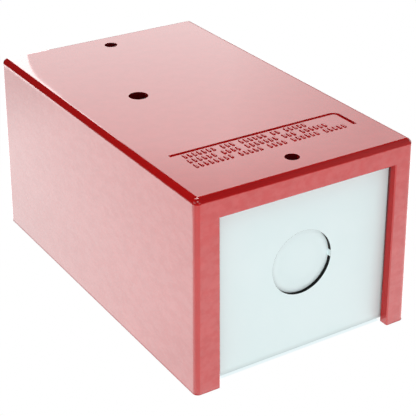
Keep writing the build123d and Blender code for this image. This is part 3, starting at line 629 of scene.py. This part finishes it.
def resistor_bands():
    """Three dark bands and a gold one on each resistor."""
    low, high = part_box("dropping_resistors")
    dark, gold = bmesh.new(), bmesh.new()
    for x in (low.x + RESISTOR_RADIUS, high.x - RESISTOR_RADIUS):
        centre = (x, (low.y + high.y) / 2, high.z - RESISTOR_RADIUS)
        for mesh, bands in ((dark, DARK_BANDS), (gold, GOLD_BANDS)):
            for middle in bands:
                add_band(mesh, RESISTOR_RADIUS, centre, middle, BAND_WIDTH, segments=28)
    piece("resistor_bands", dark, "band_brown", "chassis")
    piece("resistor_gold_bands", gold, "spring_bronze", "chassis")


def diode_bands():
    """A pale band at one end of each diode."""
    low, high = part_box("rectifier_diodes")
    rings = bmesh.new()
    for x in (low.x + DIODE_RADIUS, high.x - DIODE_RADIUS):
        for y in DIODE_Y:
            centre = (x, y * MM, high.z - DIODE_RADIUS)
            add_band(rings, DIODE_RADIUS, centre, DIODE_BAND, DIODE_BAND_WIDTH, segments=24)
    piece("diode_bands", rings, "board_legend", "chassis")


def capacitor_marks():
    """The capacitor's pale stripe, its bare lid and the three scores in the lid."""
    low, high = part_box("filter_capacitor")
    middle = (low + high) / 2
    foot = (middle.x, middle.y, low.z)
    reach, height = (high.x - low.x) / 2 + MARK_LIFT, high.z - low.z
    stripe = bmesh.new()
    profile = ((reach, STRIPE_FOOT), (reach, height - STRIPE_TOP_GAP))
    add_lathe(stripe, profile, foot, segments=16, start=STRIPE_START, sweep=STRIPE_SWEEP)
    piece("capacitor_stripe", stripe, "board_legend", "chassis")
    lid = bmesh.new()
    lid_top = height + LID_HEIGHT
    add_lathe(lid, ((LID_RADIUS, height), (LID_TOP_RADIUS, lid_top), (0.0, lid_top)), foot)
    piece("capacitor_lid", lid, "standoff_metal", "chassis")
    score = bmesh.new()
    for turn in SCORE_TURNS:
        angle = math.radians(turn)
        end = middle.xy + Vector((math.cos(angle), math.sin(angle))) * SCORE_LENGTH
        add_ribbon(score, (middle.xy, end), SCORE_WIDTH, high.z + LID_HEIGHT, MARK_LIFT)
    piece("capacitor_score", score, "diode_epoxy", "chassis")


# ---- Stage: floor and surroundings -------------------------------------------------------------------
FLOOR_SIZE = 6.0
# The floor's light in the object's shine, by place: to the left, at the left foot, in front, in a pool at
# the front right corner, on the lip of the paper at the left, and far behind.
LEFT_GLOW, FOOT_GLOW, FRONT_GLOW, POOL_GLOW, LIP_GLOW, FAR_GLOW = 3.45, 3.25, 2.4, 0.65, 3.4, 0.9
POOL_X, POOL_Y, POOL_INNER, POOL_OUTER = 55.0 * MM, -80.0 * MM, 25.0 * MM, 95.0 * MM
FOOT_RANGE, FRONT_BLEND = (5 * MM, 25 * MM), 4 * MM
LIP_OUT, LIP_BLEND, LIP_REAR = 67.2 * MM, 1 * MM, (130 * MM, 215 * MM)
PAPER_OUT, PAPER_BLEND, PAPER_REAR = 69.6 * MM, 2 * MM, (10 * MM, 40 * MM)
BEYOND_BLEND, BEYOND_SHARE = 20 * MM, 0.1
LEFT_FRONT_DIM = (-60 * MM, -15 * MM, 0.93, 1.0)
OUTER_DIM, OUTER_END = (60 * MM, 150 * MM, 1.0, 0.77), (170 * MM, 220 * MM, 1.0, 0.0)
FAR_SLANT, FAR_ACROSS, FAR_REAR = -0.3, (0.0, 50 * MM), (170 * MM, 220 * MM)
# The floor's light on matt surfaces, from front to rear, and its painted contact shadow, a dark line where
# the object stands.
FLOOR_FILL = (-110 * MM, 110 * MM, 1.04, 0.50)
CONTACT_SHADOW = (0.0, 0.8 * MM, 0.4, 1.0)
FOOT_SHADE, FOOT_SHADE_WIDTH = (0.83, 0.93, 0.95), 0.6 * MM
ROOM_FILL, ROOM_GLOW = 0.3, 0.035


def beyond_foot(n, x, y, half_length):
    """How far a place lies outside a rectangle as wide as the cover."""
    across = n.math("SUBTRACT", n.math("ABSOLUTE", x), COVER_HIGH.x)
    along = n.math("SUBTRACT", n.math("ABSOLUTE", y), half_length)
    return n.math("MAXIMUM", across, along)


def floor_glow(n):
    """How bright the floor is to a glossy surface at each place: a pool round the object, dim beyond."""
    x, y, _ = n.split()
    left_out = n.math("SUBTRACT", n.product(x, -1.0), COVER_HIGH.x)
    beyond = n.product(
        n.between(left_out, PAPER_OUT, PAPER_OUT + BEYOND_BLEND),
        n.between(y, *PAPER_REAR),
    )
    left = n.product(
        n.between(left_out, *FOOT_RANGE, FOOT_GLOW, LEFT_GLOW),
        n.ramp(beyond, 0.0, 1.0, 1.0, BEYOND_SHARE),
        n.between(y, *LEFT_FRONT_DIM),
    )
    pool = n.between(n.distance(x, y, POOL_X, POOL_Y), POOL_INNER, POOL_OUTER, 1.0, 0.0)
    front = n.math("MULTIPLY_ADD", pool, POOL_GLOW, FRONT_GLOW)
    before = n.between(y, -COVER_HIGH.y, -COVER_HIGH.y - FRONT_BLEND)
    near = n.math("MULTIPLY_ADD", before, n.math("SUBTRACT", front, left), left)
    away = beyond_foot(n, x, y, COVER_HIGH.y)
    near = n.product(near, n.between(away, *OUTER_DIM), n.between(away, *OUTER_END))
    lip = n.product(
        n.between(left_out, LIP_OUT, LIP_OUT + LIP_BLEND),
        n.between(left_out, PAPER_OUT, PAPER_OUT + PAPER_BLEND, 1.0, 0.0),
        n.between(y, *LIP_REAR),
    )
    slanted = n.math("MULTIPLY_ADD", y, FAR_SLANT, x)
    far = n.product(n.between(slanted, *FAR_ACROSS), n.between(y, *FAR_REAR))
    return n.math("MULTIPLY_ADD", far, FAR_GLOW, n.math("MULTIPLY_ADD", lip, LIP_GLOW, near))


def floor_foot(n):
    """How far a place lies outside the object's foot, and 1 where that is an end plate in its window."""
    x, y, _ = n.split()
    in_window = n.math("LESS_THAN", n.math("ABSOLUTE", n.math("SUBTRACT", x, WINDOW_X)), WINDOW_HALF)
    foot = n.math("MULTIPLY_ADD", in_window, PLATE_Y - COVER_HIGH.y, COVER_HIGH.y)
    return beyond_foot(n, x, y, foot), in_window


def pale_floor():
    """A plain pale floor that is brightest close round the object, as under a light tent."""
    bpy.ops.mesh.primitive_plane_add(size=FLOOR_SIZE)
    floor = bpy.context.object
    floor.name = "floor"
    n = Finish("floor_paper")
    path = n.light_path()
    _, y, _ = n.split()
    away, in_window = floor_foot(n)
    # Painted shadows: a dark line round the object's foot in the floor's light, and a pale blue-grey shade
    # on the floor in front of each end plate.
    contact_shadow = n.between(away, *CONTACT_SHADOW)
    shade = n.product(in_window, n.between(away, 0.0, FOOT_SHADE_WIDTH, 1.0, 0.0))
    glossy = n.product(path["Is Glossy Ray"], floor_glow(n), contact_shadow)
    diffuse = n.product(path["Is Diffuse Ray"], contact_shadow, n.between(y, *FLOOR_FILL))
    strength = n.math("ADD", n.math("ADD", path["Is Camera Ray"], glossy), diffuse)
    floor.data.materials.append(n.glow(n.mix(shade, WHITE, FOOT_SHADE), strength))


def surroundings():
    """A white backdrop to the camera, soft fill to matt surfaces and a dim room to glossy ones."""
    world = bpy.data.worlds.new("studio")
    bpy.context.scene.world = world
    world.use_nodes = True
    n = Nodes(world.node_tree)
    path = n.light_path()
    fill = n.math("MULTIPLY_ADD", path["Is Diffuse Ray"], ROOM_FILL, ROOM_GLOW)
    background = n.tree.nodes["Background"]
    n.feed(background.inputs["Color"], WHITE)
    n.feed(background.inputs["Strength"], n.math("ADD", path["Is Camera Ray"], fill))


# ---- Stage: lights and cards -------------------------------------------------------------------------
# A card's corners are bearings and elevations in degrees. A fade is what it follows, the angles where it
# starts and ends, and the share of the light that is left.
BACK_CARD = ((14.0, 0.0), (60.0, 0.0), (52.0, 32.0), (14.0, 32.0))
BACK_FADES = (("bearing", 33.5, 42.5, 0.69), ("elevation", 25.0, 27.6, 0.8), ("elevation", 18.3, 16.5, 0.4))
# The corner card's curved edge is the edge of the pale wedge in the top's far left corner.
CORNER_CARD = (
    (17.0, 0.0),
    (23.1, 0.0),
    *arc(25.31, 19.98, 2.175, start=177.0, end=129.5, steps=4),
    (24.4, 22.03),
    (24.75, 22.33),
    (25.1, 22.66),
    (25.1, 24.0),
    (23.8, 27.0),
    (21.0, 32.0),
    (17.0, 34.0),
)
CORNER_PLACE = Vector((-34.0 * MM, 50.0 * MM, COVER_HIGH.z))
TOP_CARD = (
    (-20.0, 44.5),
    (8.0, 44.0),
    (30.0, 46.5),
    (44.0, 54.0),
    (56.0, 61.0),
    (70.0, 65.0),
    (70.0, 78.0),
    (-30.0, 78.0),
    (-30.0, 54.0),
)
NEAR_CARD = ((195.0, 28.0), (195.0, 58.0), (232.0, 58.0), (232.0, 28.0))
NEAR_FADES = (
    ("back_bearing", 20.0, 15.0, 0.0),
    ("back_bearing", 47.0, 52.0, 0.0),
    ("elevation", 33.0, 28.0, 0.0),
    ("elevation", 53.0, 58.0, 0.0),
)
# The room's cards: name, start and end bearing, top, radiance, and the widths of the fades at the start,
# the end and the top.
ROOM_CARDS = (
    ("north_card", -12.0, 17.0, 21.0, 2.8, 12.0, 0.0, 8.0),
    ("east_card", 52.0, 122.0, 36.0, 2.8, 14.0, 14.0, 12.0),
    ("south_card", 160.0, 195.0, 28.0, 1.8, 10.0, 10.0, 10.0),
    ("west_card", 236.0, 306.0, 28.0, 1.8, 14.0, 14.0, 10.0),
)
ROOM_DISTANCE, ROOM_FOOT = 2.2, 1.0
# A bearing jumps from 180 to -180 degrees in front of the object. A card that starts past this one is faded
# by its back bearing instead, which is 180 degrees less.
BACK_START = 150.0
# The soft boxes: name, bearing, elevation, distance, side and radiance.
SOFT_BOXES = (
    ("back_fill", 27.0, 17.0, 2.0, 0.95, 3.2),
    ("low_key", 205.0, 10.0, 0.55, 0.35, 1.7),
    ("left_key", 248.0, 8.0, 0.33, 0.3, 0.12),
    ("overhead", 195.0, 62.0, 0.30, 0.2, 1.75),
)


def towards(azimuth, elevation):
    """The direction of a compass bearing from +Y towards +X, raised by an elevation, in degrees."""
    a, e = math.radians(azimuth), math.radians(elevation)
    return Vector((math.sin(a) * math.cos(e), math.cos(a) * math.cos(e), math.sin(e)))


def soft_box(name, azimuth, elevation, distance, size, radiance):
    """A square area light that faces the object and that only matt surfaces see."""
    data = bpy.data.lights.new(name, "AREA")
    data.size = size
    data.energy = radiance * math.pi * size * size
    light = bpy.data.objects.new(name, data)
    direction = towards(azimuth, elevation)
    light.location = direction * distance + Vector((0.0, 0.0, BORE_HEIGHT))
    light.rotation_euler = (-direction).to_track_quat("-Z", "Y").to_euler()
    light.visible_camera = light.visible_glossy = False
    bpy.context.collection.objects.link(light)


def glow_card(name, outline, distance, radiance, centre=Vector((0.0, 0.0, COVER_HIGH.z)), fades=()):
    """A card that only glossy surfaces see, its outline given by directions from a point."""
    mesh = bmesh.new()
    add_face(mesh, [towards(*corner) * distance + centre for corner in outline])
    data = bpy.data.meshes.new(name)
    mesh.to_mesh(data)
    mesh.free()
    card = bpy.data.objects.new(name, data)
    bpy.context.collection.objects.link(card)
    n = Finish(name)
    x, y, z = n.split()
    angles = {
        "bearing": n.math("ARCTAN2", x, y),
        "back_bearing": n.math("ARCTAN2", n.product(x, -1.0), n.product(y, -1.0)),
        "elevation": n.math("ARCTAN2", n.math("SUBTRACT", z, centre.z), n.distance(x, y, 0.0, 0.0)),
    }
    strength = radiance
    for kind, start, end, dimmed in fades:
        fade = n.ramp(angles[kind], math.radians(start), math.radians(end), 1.0, dimmed)
        strength = n.product(strength, fade)
    data.materials.append(n.glow(WHITE, strength))
    card.visible_camera = card.visible_diffuse = card.visible_shadow = False


def room_card(name, start, end, top, radiance, start_fade, end_fade, top_fade):
    """An upright card that fades out at its sides and top."""
    kind, turn = ("back_bearing", 180.0) if start > BACK_START else ("bearing", 0.0)
    fades = [
        (kind, start - turn + start_fade, start - turn, 0.0),
        (kind, end - turn - end_fade, end - turn, 0.0),
        ("elevation", top - top_fade, top, 0.0),
    ]
    fades = [fade for fade in fades if fade[1] != fade[2]]
    outline = ((start, ROOM_FOOT), (end, ROOM_FOOT), (end, top), (start, top))
    glow_card(name, outline, ROOM_DISTANCE, radiance, fades=fades)


def studio_lights():
    """The cards that show in the cover's shine, and the soft boxes that light what is matt."""
    glow_card("back_card", BACK_CARD, distance=2.0, radiance=3.2, fades=BACK_FADES)
    glow_card("corner_card", CORNER_CARD, distance=1.8, radiance=6.0, centre=CORNER_PLACE)
    glow_card("top_card", TOP_CARD, distance=1.5, radiance=8.0)
    glow_card("near_card", NEAR_CARD, distance=1.5, radiance=4.5, fades=NEAR_FADES)
    for card in ROOM_CARDS:
        room_card(*card)
    for box in SOFT_BOXES:
        soft_box(*box)


# ---- Stage: camera -----------------------------------------------------------------------------------
CAMERA_PLACE = Vector((-202.216, -333.189, 227.039)) * MM
CAMERA_AZIMUTH, CAMERA_ELEVATION, CAMERA_ROLL = 32.033, 27.548, -0.129
CAMERA_LENS, CAMERA_SENSOR = 107.01, 36.0
CLIP_START, CLIP_END = 0.01, 20.0


def photo_camera():
    """The camera at the viewing angle, by bearing, elevation and a slight roll."""
    data = bpy.data.cameras.new("camera")
    data.lens, data.sensor_width = CAMERA_LENS, CAMERA_SENSOR
    data.clip_start, data.clip_end = CLIP_START, CLIP_END
    camera = bpy.data.objects.new("camera", data)
    forward = towards(CAMERA_AZIMUTH, -CAMERA_ELEVATION)
    azimuth, roll = math.radians(CAMERA_AZIMUTH), math.radians(CAMERA_ROLL)
    level = Vector((math.cos(azimuth), -math.sin(azimuth), 0.0))
    up = level.cross(forward)
    right_axis = math.cos(roll) * level + math.sin(roll) * up
    up_axis = -math.sin(roll) * level + math.cos(roll) * up
    camera.matrix_world = Matrix((right_axis, up_axis, -forward)).transposed().to_4x4()
    camera.location = CAMERA_PLACE
    bpy.context.collection.objects.link(camera)
    bpy.context.scene.camera = camera


dress_nodes()
moulded_strokes()
relay_coil()
board_marks()
resistor_bands()
diode_bands()
capacitor_marks()
pale_floor()
surroundings()
studio_lights()
photo_camera()
bpy.context.scene.view_settings.view_transform = "Standard"
